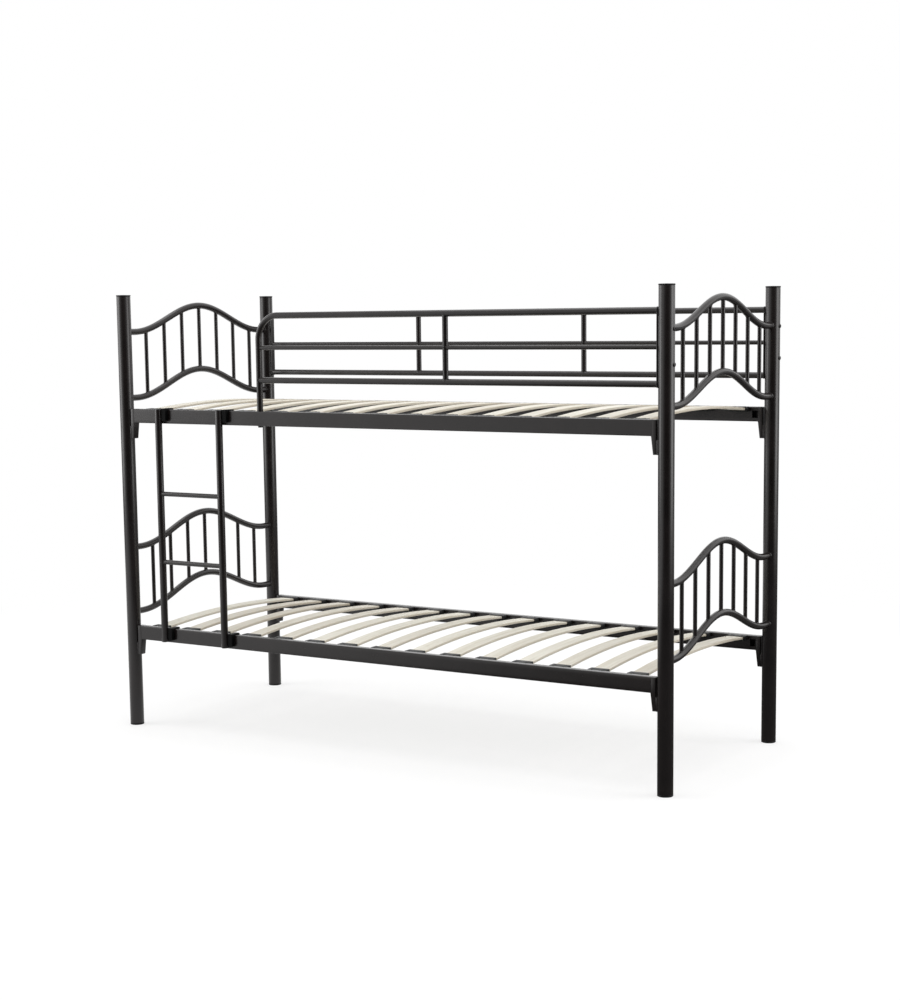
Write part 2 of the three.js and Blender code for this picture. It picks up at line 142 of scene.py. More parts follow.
def weld_seam(name, length):
    """A straight run of weld up the Z axis, swelling and narrowing where each drop of it set."""
    bpy.ops.mesh.primitive_circle_add(vertices=8, radius=WELD_RADIUS, fill_type="NGON")
    seam = settled(name)
    bpy.ops.object.mode_set(mode="EDIT")
    bpy.ops.mesh.select_all(action="SELECT")
    rise = {"value": (0, 0, length / (2 * SEAM_RIPPLES))}
    for i in range(2 * SEAM_RIPPLES):
        bpy.ops.mesh.extrude_region_move(TRANSFORM_OT_translate=rise)
        swell = SEAM_SWELLS[i % 2]
        bpy.ops.transform.resize(value=(swell, swell, 1))
    bpy.ops.mesh.select_all(action="SELECT")
    bpy.ops.mesh.normals_make_consistent(inside=False)
    bpy.ops.object.mode_set(mode="OBJECT")
    return seam


def noise(tree, scale, detail=2):
    """A cloudy pattern, from 0 to 1, that stays with the piece."""
    place = tree.nodes.new("ShaderNodeTexCoord")
    clouds = tree.nodes.new("ShaderNodeTexNoise")
    clouds.inputs["Scale"].default_value = scale
    clouds.inputs["Detail"].default_value = detail
    tree.links.new(place.outputs["Object"], clouds.inputs["Vector"])
    return clouds.outputs["Fac"]


def two_tones(tree, share, dark, light, ends=(0, 1)):
    """A colour that goes from dark to light as the share goes from one end to the other."""
    tones = tree.nodes.new("ShaderNodeValToRGB")
    for stop, end, tone in zip(tones.color_ramp.elements, ends, (dark, light)):
        stop.position = end
        stop.color = (*tone, 1)
    tree.links.new(share, tones.inputs["Fac"])
    return tones.outputs["Color"]


def spread(tree, value, low, high, start=0, end=1):
    """A value that goes from low to high as another goes from start to end."""
    stretch = tree.nodes.new("ShaderNodeMapRange")
    stretch.inputs["From Min"].default_value = start
    stretch.inputs["From Max"].default_value = end
    stretch.inputs["To Min"].default_value = low
    stretch.inputs["To Max"].default_value = high
    tree.links.new(value, stretch.inputs["Value"])
    return stretch.outputs["Result"]


def relief(tree, height, strength, depth):
    """A fine unevenness of the surface, for its shading."""
    bump = tree.nodes.new("ShaderNodeBump")
    bump.inputs["Strength"].default_value = strength
    bump.inputs["Distance"].default_value = depth
    tree.links.new(height, bump.inputs["Height"])
    return bump.outputs["Normal"]


def black_powder_coat():
    """Satin black powder coat: faint mottling, slightly uneven gloss and a fine orange peel."""
    finish = bpy.data.materials.new("black_powder_coat")
    finish.use_nodes = True
    tree = finish.node_tree
    shader = tree.nodes["Principled BSDF"]
    mottle = two_tones(tree, noise(tree, scale=11, detail=5), COAT_DARK, COAT_LIGHT, (0.3, 0.72))
    gloss = spread(tree, noise(tree, scale=70, detail=3), low=0.2, high=0.3)
    peel = relief(tree, noise(tree, scale=750), strength=0.04, depth=0.0004)
    tree.links.new(mottle, shader.inputs["Base Color"])
    tree.links.new(gloss, shader.inputs["Roughness"])
    tree.links.new(peel, shader.inputs["Normal"])
    return finish


steel_finish = black_powder_coat()
RAIL_TOPS = {}
for deck in ("upper", "lower"):
    RAIL_TOPS[deck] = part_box(f"side_rail_{deck}_front")[0].z + HOOK_DROP + RAIL_HEIGHT

cap_low, cap_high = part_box("post_cap_front_left")
foot_low, foot_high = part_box("foot_front_left")
post_low, post_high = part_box("post_front_left")
socket_reach = post_high.x - (cap_low.x + cap_high.x) / 2  # from the post's axis
bpy.ops.mesh.primitive_cylinder_add(
    vertices=72,
    radius=POST_RADIUS,
    depth=post_high.z - post_low.z,
    end_fill_type="NOTHING",
    location=(0, 0, (post_low.z + post_high.z) / 2),
)
post_tube = settled("post_tube")
shape_with(post_tube, "SOLIDIFY", thickness=POST_WALL, offset=-1)
shape_with(post_tube, "BEVEL", width=SAWN_EDGE, segments=2, limit_method="ANGLE")
post_parts = [post_tube]
for deck, top in RAIL_TOPS.items():
    low = top - RAIL_HEIGHT - HOOK_DROP
    high = top - RAIL_HEIGHT - SOCKET_DROP
    half = RAIL_THICKNESS / 2
    socket = block(f"socket_{deck}", (SOCKET_ROOT, -half, low), (socket_reach, half, high))
    slot_corner = (POST_RADIUS, -SLOT_WIDTH / 2, high - SLOT_DEPTH)
    slot_end = (socket_reach + CUTTER_EXCESS, SLOT_WIDTH / 2, high + CUTTER_EXCESS)
    cut(socket, block("slot", slot_corner, slot_end))
    shape_with(socket, "BEVEL", width=SOCKET_EDGE, segments=2, limit_method="ANGLE")
    post_parts.append(socket)
    seam = weld_seam("socket_seam", high - low)
    seam_x = math.sqrt(POST_RADIUS**2 - half**2)
    for side in (-1, 1):
        place = Matrix.Translation((seam_x, side * half, low))
        post_parts.append(copied(seam, f"socket_seam_{deck}", place))
    bpy.data.objects.remove(seam)
post = joined("post", post_parts)
finished(post, steel_finish)

POST_AXES = {}
for corner in ("front_left", "front_right", "rear_left", "rear_right"):
    low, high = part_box(f"post_cap_{corner}")
    axis = Vector(((low.x + high.x) / 2, (low.y + high.y) / 2, 0))
    POST_AXES[corner] = axis
    turn = Matrix.Rotation(math.pi if axis.x > 0 else 0, 4, "Z")
    piece = copied(post, f"corner_post_{corner}", Matrix.Translation(axis) @ turn)
    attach(piece, "bed_frame")
    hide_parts(f"post_{corner}")
bpy.data.objects.remove(post)


# ---- Caps and feet -------------------------------------------------------------------------------
# Moulded black plastic. Each is a disc over the tube's end, with a plug that is pushed into the
# tube. The cap has a softly rounded rim and a faint crown, the foot a flat sole.
PLUG_RADIUS = 0.0213
PLUG_LENGTH = 0.028
CAP_CROWN = 0.0006
CROWN_STEPS = (0.2, 0.3, 0.5)  # shares of the crown, from the rim to the middle
CROWN_INSET = 0.28  # of each step, as a share of the cap's radius
RIM_ROUNDING = 0.0015


def pick_faces(test):
    """In edit mode, selects the faces whose middle and normal pass the test."""
    bpy.context.tool_settings.mesh_select_mode = (False, False, True)
    bpy.ops.mesh.select_all(action="DESELECT")
    shape = bmesh.from_edit_mesh(bpy.context.object.data)
    for face in shape.faces:
        face.select_set(test(face.calc_center_median(), face.normal))
    bmesh.update_edit_mesh(bpy.context.object.data)


def black_moulding(name, grain, darkest, lightest, sheen=0.3):
    """Moulded plastic: near-black, matt, with a fine sparked grain."""
    finish = bpy.data.materials.new(name)
    finish.use_nodes = True
    tree = finish.node_tree
    shader = tree.nodes["Principled BSDF"]
    shader.inputs["Specular IOR Level"].default_value = sheen
    dark, light = [(tone, tone, tone * 1.04) for tone in (darkest, lightest)]
    clouding = two_tones(tree, noise(tree, scale=40), dark, light)
    spark = noise(tree, scale=grain, detail=3)
    tree.links.new(clouding, shader.inputs["Base Color"])
    tree.links.new(spread(tree, spark, low=0.48, high=0.66), shader.inputs["Roughness"])
    tree.links.new(relief(tree, spark, strength=0.25, depth=0.0003), shader.inputs["Normal"])
    return finish


def end_piece(name, radius, thickness, crown):
    """A disc with its outer face up at z = 0, and the plug under it."""
    depth = thickness - crown
    middle = (0, 0, -crown - depth / 2)
    bpy.ops.mesh.primitive_cylinder_add(vertices=72, radius=radius, depth=depth, location=middle)
    piece = settled(name)
    shape_with(piece, "BEVEL", width=RIM_ROUNDING, segments=4, limit_method="ANGLE")
    bpy.ops.object.mode_set(mode="EDIT")
    pick_faces(lambda middle, normal: normal.z > 0.99)
    for share in CROWN_STEPS:
        bpy.ops.mesh.inset(thickness=radius * CROWN_INSET)
        bpy.ops.transform.translate(value=(0, 0, crown * share))
    pick_faces(lambda middle, normal: normal.z < -0.99)
    bpy.ops.mesh.inset(thickness=radius - RIM_ROUNDING - PLUG_RADIUS)
    bpy.ops.mesh.extrude_region_move(TRANSFORM_OT_translate={"value": (0, 0, -PLUG_LENGTH)})
    bpy.ops.object.mode_set(mode="OBJECT")
    return piece


plug_finish = black_moulding("black_plastic_ends", 900, 0.006, 0.011)
cap = end_piece("cap", (cap_high.x - cap_low.x) / 2, cap_high.z - cap_low.z - PLUG_LENGTH, CAP_CROWN)
foot = end_piece("foot", POST_RADIUS, foot_high.z - foot_low.z - PLUG_LENGTH, 0.0)
for model in (cap, foot):
    finished(model, plug_finish)
for corner, axis in POST_AXES.items():
    upright = Matrix.Translation(axis + Vector((0, 0, cap_high.z)))
    upside_down = Matrix.Translation(axis) @ Matrix.Rotation(math.pi, 4, "X")
    top = copied(cap, f"cap_{corner}", upright)
    sole = copied(foot, f"foot_plug_{corner}", upside_down)
    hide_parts(f"post_cap_{corner}")
    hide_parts(f"foot_{corner}")
    for piece in (top, sole):
        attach(piece, "bed_frame")
bpy.data.objects.remove(cap)
bpy.data.objects.remove(foot)


# ---- End panels ----------------------------------------------------------------------------------
# Two tubes bent into the same wave, one above the other, with seven spindles welded between them.
# The panel is welded to its two posts: there are four of them, at both ends of both decks.
WAVE_RADIUS = 0.011
WAVE_SPACING = 0.227  # from the lower tube to the upper one
WAVE_WIDTH = 0.700
WAVE_STEPS = 64
SPINDLE_RADIUS = 0.0065
SPINDLE_COUNT = 7
SPINDLE_PITCH = 0.097
RING_RIPPLES = 12
RING_SWELL = 0.2  # share of the weld's radius


def bent_tube(name, radius, path, bend_axis, sides=24):
    """A tube drawn along a path in one plane: a disc is pushed from point to point and turned."""
    last = len(path) - 1
    along = [(path[min(i + 1, last)] - path[max(i - 1, 0)]).normalized() for i in range(last + 1)]
    facing = along[0].to_track_quat("Z", "Y").to_euler()
    bpy.ops.mesh.primitive_circle_add(
        vertices=sides, radius=radius, fill_type="NGON", location=path[0], rotation=facing
    )
    tube = settled(name)
    axis = Vector((1, 0, 0)) if bend_axis == "X" else Vector((0, 1, 0))
    bpy.ops.object.mode_set(mode="EDIT")
    bpy.ops.mesh.select_all(action="SELECT")
    for i in range(1, len(path)):
        step = {"value": path[i] - path[i - 1]}
        bpy.ops.mesh.extrude_region_move(TRANSFORM_OT_translate=step)
        turn = math.asin(along[i - 1].cross(along[i]).dot(axis))
        bpy.ops.transform.rotate(value=-turn, orient_axis=bend_axis, center_override=path[i])
    bpy.ops.mesh.select_all(action="SELECT")
    bpy.ops.mesh.normals_make_consistent(inside=False)
    bpy.ops.object.mode_set(mode="OBJECT")
    return tube


def rod(name, radius, start, end, sides=32):
    """A straight round bar between two points."""
    start, end = Vector(start), Vector(end)
    facing = (end - start).to_track_quat("Z", "Y").to_euler()
    bpy.ops.mesh.primitive_cylinder_add(
        vertices=sides,
        radius=radius,
        depth=(end - start).length,
        location=(start + end) / 2,
        rotation=facing,
    )
    return settled(name)


def weld_ring(name, radius):
    """A ring of weld round the Z axis, swelling and narrowing where each drop of it set."""
    bpy.ops.mesh.primitive_torus_add(
        major_segments=3 * RING_RIPPLES,
        minor_segments=8,
        major_radius=radius,
        minor_radius=WELD_RADIUS,
    )
    ring = settled(name)
    for vertex in ring.data.vertices:
        core = Vector((vertex.co.x, vertex.co.y, 0)).normalized() * radius
        swell = 1 + RING_SWELL * math.cos(RING_RIPPLES * math.atan2(core.y, core.x))
        vertex.co = core + (vertex.co - core) * swell
    return ring


panel_low, panel_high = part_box("end_panel_upper_left")
wave_rise = panel_high.z - panel_low.z - WAVE_SPACING - 2 * WAVE_RADIUS
bed_middle = (POST_AXES["front_left"].y + POST_AXES["rear_left"].y) / 2
half_spacing = POST_AXES["rear_left"].y - bed_middle


def wave_height(across):
    """Height of a bent tube above its ends, at a distance from the middle of the bed's width."""
    share = min(abs(across) / (WAVE_WIDTH / 2), 1)
    return wave_rise * (1 + math.cos(math.pi * share)) / 2


def wave_slope(across):
    reach = 0.001
    return (wave_height(across + reach) - wave_height(across - reach)) / (2 * reach)


# The model is made at x = 0 with the lower tube's ends at z = 0.
tube_end = half_spacing - POST_RADIUS + 2 * POST_WALL
stations = [tube_end * (2 * i / WAVE_STEPS - 1) for i in range(WAVE_STEPS + 1)]
wave_path = [Vector((0, bed_middle + across, wave_height(across))) for across in stations]
lower_wave = bent_tube("lower_wave", WAVE_RADIUS, wave_path, bend_axis="X")
upper_wave = copied(lower_wave, "upper_wave", Matrix.Translation((0, 0, WAVE_SPACING)))
panel_parts = [lower_wave, upper_wave]
spindle_ring = weld_ring("spindle_ring", SPINDLE_RADIUS)
for i in range(SPINDLE_COUNT):
    across = (i - (SPINDLE_COUNT - 1) / 2) * SPINDLE_PITCH
    foot_point = Vector((0, bed_middle + across, wave_height(across)))
    head_point = foot_point + Vector((0, 0, WAVE_SPACING))
    panel_parts.append(rod(f"spindle_{i}", SPINDLE_RADIUS, foot_point, head_point, sides=24))
    for base, side in ((0, 1), (WAVE_SPACING, -1)):
        ring = copied(spindle_ring, f"ring_{i}", Matrix.Translation((0, across, base)))
        for vertex in ring.data.vertices:
            tilt = math.hypot(1, wave_slope(vertex.co.y))
            crown = math.sqrt(WAVE_RADIUS**2 - vertex.co.x**2) * tilt
            vertex.co.z += wave_height(vertex.co.y) + side * crown
            vertex.co.y += bed_middle
        panel_parts.append(ring)
bpy.data.objects.remove(spindle_ring)

# The welds between the tubes and the posts follow the posts' round sides.
tube_ring = weld_ring("tube_ring", WAVE_RADIUS)
for side in (-1, 1):
    for height in (0, WAVE_SPACING):
        upended = Matrix.Rotation(math.pi / 2, 4, "X")
        ring = copied(tube_ring, "post_ring", Matrix.Translation((0, 0, height)) @ upended)
        for vertex in ring.data.vertices:
            reach = math.sqrt(POST_RADIUS**2 - vertex.co.x**2)
            vertex.co.y += bed_middle + side * (half_spacing - reach)
        panel_parts.append(ring)
bpy.data.objects.remove(tube_ring)

panel = joined("end_panel", panel_parts)
finished(panel, steel_finish)
for deck in ("upper", "lower"):
    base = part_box(f"end_panel_{deck}_left")[0].z + WAVE_RADIUS
    for end in ("left", "right"):
        place = Matrix.Translation((POST_AXES[f"front_{end}"].x, 0, base))
        piece = copied(panel, f"welded_end_panel_{deck}_{end}", place)
        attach(piece, "bed_frame")
        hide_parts(f"end_panel_{deck}_{end}")
bpy.data.objects.remove(panel)


# ---- Side rails ----------------------------------------------------------------------------------
# Rectangular steel tube with rounded corners. At each end a tapering hook plate is welded on, whose
# tongue drops into the post's socket. A window in the inner wall gives a hand room to fit it.
RAIL_WALL = 0.002
RAIL_CORNER = 0.003
PLATE_STANDOFF = 0.003  # from the post to the plate
PLATE_WIDTH = 0.0165
PLATE_FOOT_WIDTH = 0.010
TONGUE_WIDTH = 0.0074
TONGUE_LENGTH = 0.034
TONGUE_GAP = 0.0003  # from the tongue to the post
WINDOW_LENGTH = 0.020
WINDOW_HEIGHT = 0.024
PLATE_EDGE = 0.0012
TONGUE_EDGE = 0.0006
NEAR = 0.001  # closer than this counts as the same place


def pick_edges(test):
    """In edit mode, selects the edges whose two ends pass the test."""
    bpy.context.tool_settings.mesh_select_mode = (False, True, False)
    bpy.ops.mesh.select_all(action="DESELECT")
    shape = bmesh.from_edit_mesh(bpy.context.object.data)
    for edge in shape.edges:
        edge.select_set(test(edge.verts[0].co, edge.verts[1].co))
    bmesh.update_edit_mesh(bpy.context.object.data)


# The model has its top at z = 0, and its inner side faces +Y.
half = RAIL_THICKNESS / 2
plate_outer = POST_AXES["front_right"].x - POST_RADIUS - PLATE_STANDOFF
plate_inner = plate_outer - PLATE_WIDTH
weld_depth = RAIL_WALL
tube_half = plate_inner + weld_depth
rail_tube = block("rail_tube", (-tube_half, -half, -RAIL_HEIGHT), (tube_half, half, 0))
bpy.ops.object.mode_set(mode="EDIT")
pick_faces(lambda middle, normal: abs(normal.x) > 0.9)
bpy.ops.mesh.delete(type="FACE")
pick_edges(lambda first, second: abs(first.x - second.x) > tube_half)
bpy.ops.mesh.bevel(offset=RAIL_CORNER, segments=5, affect="EDGES")
window_low = (-RAIL_HEIGHT - WINDOW_HEIGHT) / 2
window_high = window_low + WINDOW_HEIGHT
window_start = plate_inner - WINDOW_LENGTH
for plane_co, plane_no in (
    ((window_start, 0, 0), (1, 0, 0)),
    ((-window_start, 0, 0), (1, 0, 0)),
    ((0, 0, window_low), (0, 0, 1)),
    ((0, 0, window_high), (0, 0, 1)),
):
    bpy.ops.mesh.select_all(action="SELECT")
    bpy.ops.mesh.bisect(plane_co=plane_co, plane_no=plane_no)
pick_faces(
    lambda middle, normal: abs(middle.x) > window_start
    and window_low < middle.z < window_high
    and middle.y > half / 2
)
bpy.ops.mesh.delete(type="FACE")
bpy.ops.object.mode_set(mode="OBJECT")
shape_with(rail_tube, "SOLIDIFY", thickness=RAIL_WALL, offset=-1)

plate = block("plate", (plate_inner, -half, -RAIL_HEIGHT - HOOK_DROP), (plate_outer, half, 0))
bpy.ops.object.mode_set(mode="EDIT")
bpy.ops.mesh.select_all(action="SELECT")
bpy.ops.mesh.bisect(plane_co=(0, 0, -RAIL_HEIGHT), plane_no=(0, 0, 1))
bpy.ops.mesh.select_all(action="DESELECT")
bpy.context.tool_settings.mesh_select_mode = (True, False, False)
shape = bmesh.from_edit_mesh(plate.data)
for vertex in shape.verts:
    vertex.select_set(vertex.co.z < -RAIL_HEIGHT - HOOK_DROP / 2 and vertex.co.x < plate_outer - NEAR)
bmesh.update_edit_mesh(plate.data)
bpy.ops.transform.translate(value=(PLATE_WIDTH - PLATE_FOOT_WIDTH, 0, 0))
bpy.ops.object.mode_set(mode="OBJECT")
shape_with(plate, "BEVEL", width=PLATE_EDGE, segments=3, limit_method="ANGLE")

tongue_top = -RAIL_HEIGHT - SOCKET_DROP
tongue = block(
    "tongue",
    (plate_outer - weld_depth, -TONGUE_WIDTH / 2, tongue_top - TONGUE_LENGTH),
    (POST_AXES["front_right"].x - POST_RADIUS - TONGUE_GAP, TONGUE_WIDTH / 2, tongue_top),
)
shape_with(tongue, "BEVEL", width=TONGUE_EDGE, segments=2, limit_method="ANGLE")
seam = weld_seam("seam", RAIL_THICKNESS - 2 * RAIL_CORNER)
lying = Matrix.Rotation(math.pi / 2, 4, "X")
underside = Matrix.Translation((plate_inner, half - RAIL_CORNER, -RAIL_HEIGHT))
under_seam = copied(seam, "under_seam", underside @ lying)
bpy.data.objects.remove(seam)
right_end = [plate, tongue, under_seam]
mirrored = Matrix.Rotation(math.pi, 4, "Z")
left_end = [copied(part, f"left_{part.name}", mirrored) for part in right_end]
rail = joined("rail", [rail_tube] + right_end + left_end)
finished(rail, steel_finish)
for deck, top in RAIL_TOPS.items():
    for side, turn in (("front", 0), ("rear", math.pi)):
        place = Matrix.Translation((0, POST_AXES[f"{side}_left"].y, top))
        piece = copied(rail, f"steel_side_rail_{deck}_{side}", place @ Matrix.Rotation(turn, 4, "Z"))
        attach(piece, "bed_frame")
        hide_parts(f"side_rail_{deck}_{side}")
bpy.data.objects.remove(rail)


# ---- Slat holders --------------------------------------------------------------------------------
# Black plastic pockets, one at each slat end, pinned to the rail's inner wall. The pocket is open
# towards the middle of the bed, its edges are rounded, and two ribs stiffen its top.
HOLDER_WIDTH = 0.060
HOLDER_LENGTH = 0.030
HOLDER_RISE = 0.0005  # of its top above the rail
HOLDER_WALL = 0.0022
HOLDER_GAP = 0.0003  # between the slat and the pocket
HOLDER_EDGE = 0.0009
RIB_OFFSET = 0.018  # from the holder's middle, as are the pins
RIB_THICKNESS = 0.0024
RIB_SINK = 0.0008  # into the holder's top
RIB_HEIGHT = 0.0009
RIB_START = 0.002  # from the rail
RIB_SETBACK = 0.004  # from the pocket's mouth
RIB_EDGE = 0.0005
PIN_RADIUS = 0.0035
PIN_SINK = 0.001  # into the holder, and past the inside of the rail's wall
SLATS_PER_DECK = 15

slat_low, slat_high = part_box("slat_upper_01")
holder_floor = slat_low.z - RAIL_TOPS["upper"] - HOLDER_GAP - HOLDER_WALL
holder = block(
    "holder",
    (-HOLDER_WIDTH / 2, 0, holder_floor),
    (HOLDER_WIDTH / 2, HOLDER_LENGTH, HOLDER_RISE),
)
bpy.ops.object.mode_set(mode="EDIT")
pick_faces(lambda middle, normal: normal.y > 0.9)
bpy.ops.mesh.inset(thickness=HOLDER_WALL)
inward = {"value": (0, HOLDER_WALL - HOLDER_LENGTH, 0)}
bpy.ops.mesh.extrude_region_move(TRANSFORM_OT_translate=inward)
bpy.ops.object.mode_set(mode="OBJECT")
shape_with(holder, "BEVEL", width=HOLDER_EDGE, segments=3, limit_method="ANGLE")
holder_parts = [holder]
for x in (-RIB_OFFSET, RIB_OFFSET):
    low = (x - RIB_THICKNESS / 2, RIB_START, HOLDER_RISE - RIB_SINK)
    high = (x + RIB_THICKNESS / 2, HOLDER_LENGTH - RIB_SETBACK, HOLDER_RISE + RIB_HEIGHT)
    rib = block("rib", low, high)
    shape_with(rib, "BEVEL", width=RIB_EDGE, segments=2, limit_method="ANGLE")
    holder_parts.append(rib)
    inner, outer = (x, PIN_SINK, holder_floor / 2), (x, -RAIL_WALL - PIN_SINK, holder_floor / 2)
    holder_parts.append(rod("pin", PIN_RADIUS, inner, outer, sides=16))
holder = joined("holder", holder_parts)
holder_finish = black_moulding("black_plastic_holders", 1100, 0.005, 0.010, 0.5)
finished(holder, holder_finish)
for deck, top in RAIL_TOPS.items():
    for number in range(1, SLATS_PER_DECK + 1):
        low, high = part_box(f"slat_{deck}_{number:02d}")
        for side, turn in (("front", 0), ("rear", math.pi)):
            inner_face = POST_AXES[f"{side}_left"].y + (half if side == "front" else -half)
            place = Matrix.Translation(((low.x + high.x) / 2, inner_face, top))
            name = f"slat_holder_{deck}_{side}_{number:02d}"
            piece = copied(holder, name, place @ Matrix.Rotation(turn, 4, "Z"))
            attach(piece, "bed_frame")
bpy.data.objects.remove(holder)


# ---- Slats ---------------------------------------------------------------------------------------
# Strips of birch plywood bent into a low arch, 8 mm thick with rounded edges. The faces show the
# long grain, the edges show the plies, and no two strips have quite the same tone.
SLAT_WIDTH = slat_high.x - slat_low.x
SLAT_THICKNESS = 0.008
SLAT_EDGE = 0.0022
SLAT_STEPS = 28
PLY_COUNT = 5
BIRCH_DARK = (0.75, 0.71, 0.60)
BIRCH_LIGHT = (0.87, 0.845, 0.755)
TONE_TINT = (0.86, 0.84, 0.83)  # of the darkest strip
PORE_TINT = (0.84, 0.79, 0.72)
PLY_TINT = (0.66, 0.56, 0.44)  # of the glue lines between the plies


def birch_ply():
    """Sanded birch: pale bands and darker streaks along the grain, fine pores, plies at the edges."""
    finish = bpy.data.materials.new("birch_ply")
    finish.use_nodes = True
    tree = finish.node_tree
    nodes = tree.nodes
    link = tree.links.new
    shader = nodes["Principled BSDF"]
    place = nodes.new("ShaderNodeTexCoord")

    def grain(across, along, detail, warp):
        stretch = nodes.new("ShaderNodeMapping")
        stretch.inputs["Scale"].default_value = (across, along, across)
        fibres = nodes.new("ShaderNodeTexNoise")
        fibres.inputs["Scale"].default_value = 1
        fibres.inputs["Detail"].default_value = detail
        fibres.inputs["Distortion"].default_value = warp
        link(place.outputs["Object"], stretch.inputs["Vector"])
        link(stretch.outputs["Vector"], fibres.inputs["Vector"])
        return fibres.outputs["Fac"]

    def tinted(colour, factor, tint):
        blend = nodes.new("ShaderNodeMix")
        blend.data_type = "RGBA"
        blend.blend_type = "MULTIPLY"
        blend.inputs["B"].default_value = (*tint, 1)
        link(factor, blend.inputs["Factor"])
        link(colour, blend.inputs["A"])
        return blend.outputs["Result"]

    tone = nodes.new("ShaderNodeAttribute")
    tone.attribute_name = "tone"
    depth = nodes.new("ShaderNodeAttribute")
    depth.attribute_name = "ply_depth"
    plies = nodes.new("ShaderNodeMath")
    plies.operation = "PINGPONG"
    plies.inputs[1].default_value = 1 / (2 * PLY_COUNT)
    link(depth.outputs["Fac"], plies.inputs[0])

    bands = grain(across=70, along=2.2, detail=5, warp=0.6)
    pores = grain(across=420, along=9, detail=3, warp=0)
    colour = two_tones(tree, bands, BIRCH_DARK, BIRCH_LIGHT, (0.32, 0.66))
    colour = tinted(colour, tone.outputs["Fac"], TONE_TINT)
    colour = tinted(colour, spread(tree, pores, 0, 1, start=0.62, end=0.78), PORE_TINT)
    colour = tinted(colour, spread(tree, plies.outputs["Value"], 0, 1, start=0.04, end=0.09), PLY_TINT)
    fibres = grain(across=600, along=14, detail=3, warp=0)
    link(colour, shader.inputs["Base Color"])
    link(spread(tree, fibres, low=0.5, high=0.68), shader.inputs["Roughness"])
    link(relief(tree, fibres, strength=0.2, depth=0.0004), shader.inputs["Normal"])
    return finish


# The arch's underside passes through its two ends and its crown.
half_span = (slat_high.y - slat_low.y) / 2
slat_rise = slat_high.z - slat_low.z - SLAT_THICKNESS
under_radius = (half_span**2 + slat_rise**2) / (2 * slat_rise)
outer_radius = under_radius + SLAT_THICKNESS
bend = math.asin(half_span / outer_radius)
centre_z = slat_rise - under_radius
mid_radius = under_radius + SLAT_THICKNESS / 2
bpy.ops.mesh.primitive_plane_add(
    size=1,
    location=(0, -mid_radius * math.sin(bend), centre_z + mid_radius * math.cos(bend)),
    rotation=(math.pi / 2 + bend, 0, 0),
)
slat = bpy.context.object
slat.scale = (SLAT_WIDTH, SLAT_THICKNESS, 1)
slat = settled("slat")
bpy.ops.object.mode_set(mode="EDIT")
bpy.ops.mesh.select_all(action="SELECT")
bpy.ops.mesh.bevel(offset=SLAT_EDGE, segments=4, affect="VERTICES")
bpy.ops.mesh.select_all(action="SELECT")
bpy.ops.mesh.spin(steps=SLAT_STEPS, angle=2 * bend, center=(0, 0, centre_z), axis=(1, 0, 0))
bpy.ops.mesh.select_all(action="SELECT")
bpy.ops.mesh.remove_doubles(threshold=0.00001)
bpy.ops.mesh.normals_make_consistent(inside=False)
bpy.ops.object.mode_set(mode="OBJECT")
ply_depth = slat.data.attributes.new("ply_depth", "FLOAT", "POINT")
for vertex, depth in zip(slat.data.vertices, ply_depth.data):
    from_centre = math.hypot(vertex.co.y, vertex.co.z - centre_z)
    depth.value = (from_centre - under_radius) / SLAT_THICKNESS
finished(slat, birch_ply())
for deck in RAIL_TOPS:
    for number in range(1, SLATS_PER_DECK + 1):
        low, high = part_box(f"slat_{deck}_{number:02d}")
        place = Matrix.Translation(((low.x + high.x) / 2, bed_middle, low.z))
        piece = copied(slat, f"birch_slat_{deck}_{number:02d}", place)
        tone = random.random()
        tones = piece.data.attributes.new("tone", "FLOAT", "POINT")
        for value in tones.data:
            value.value = tone
        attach(piece, "bed_frame")
        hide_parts(f"slat_{deck}_{number:02d}")
bpy.data.objects.remove(slat)


# ---- Guard rails ---------------------------------------------------------------------------------
# Three bars and their uprights, welded to a flat bar that is bolted to a post. The rear guard runs
# from post to post. The front guard's top bar bends down into a leg that stands on the side rail.
GUARD_RADIUS = 0.010
GUARD_MIDDLE_RADIUS = 0.007
GUARD_UPRIGHT_RADIUS = 0.009
END_BAR_THICKNESS = 0.004
END_BAR_WIDTH = 0.020
END_BAR_OVERSHOOT = 0.011  # past the top and bottom bars' centre lines
END_BAR_CORNER = 0.005
MIDDLE_BAR_SHARE = 0.5024  # of the way from the bottom bar to the top one
REAR_UPRIGHT_INSET = 0.687  # from the post axis
CORNER_RADIUS = 0.078
CORNER_STEPS = 14

rear_low, rear_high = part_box("guard_rail_rear")
front_low, front_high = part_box("guard_rail_front")
guard_bottom = rear_low.z + END_BAR_OVERSHOOT
guard_top = rear_high.z - END_BAR_OVERSHOOT
guard_middle = guard_bottom + MIDDLE_BAR_SHARE * (guard_top - guard_bottom)
bar_end = rear_high.x - END_BAR_THICKNESS / 2
BAR_RADII = {guard_bottom: GUARD_RADIUS, guard_middle: GUARD_MIDDLE_RADIUS, guard_top: GUARD_RADIUS}


def end_bar(side):
    """The flat bar at one end, x towards +1 or -1, with its corners rounded off."""
    faces = sorted((side * rear_high.x, side * (rear_high.x - END_BAR_THICKNESS)))
    low = (faces[0], -END_BAR_WIDTH / 2, rear_low.z)
    bar = block("end_bar", low, (faces[1], END_BAR_WIDTH / 2, rear_high.z))
    bpy.ops.object.mode_set(mode="EDIT")
    pick_edges(lambda first, second: abs(first.x - second.x) > END_BAR_THICKNESS / 2)
    bpy.ops.mesh.bevel(offset=END_BAR_CORNER, segments=5, affect="EDGES")
    bpy.ops.object.mode_set(mode="OBJECT")
    shape_with(bar, "BEVEL", width=SAWN_EDGE, segments=2, limit_method="ANGLE")
    return bar


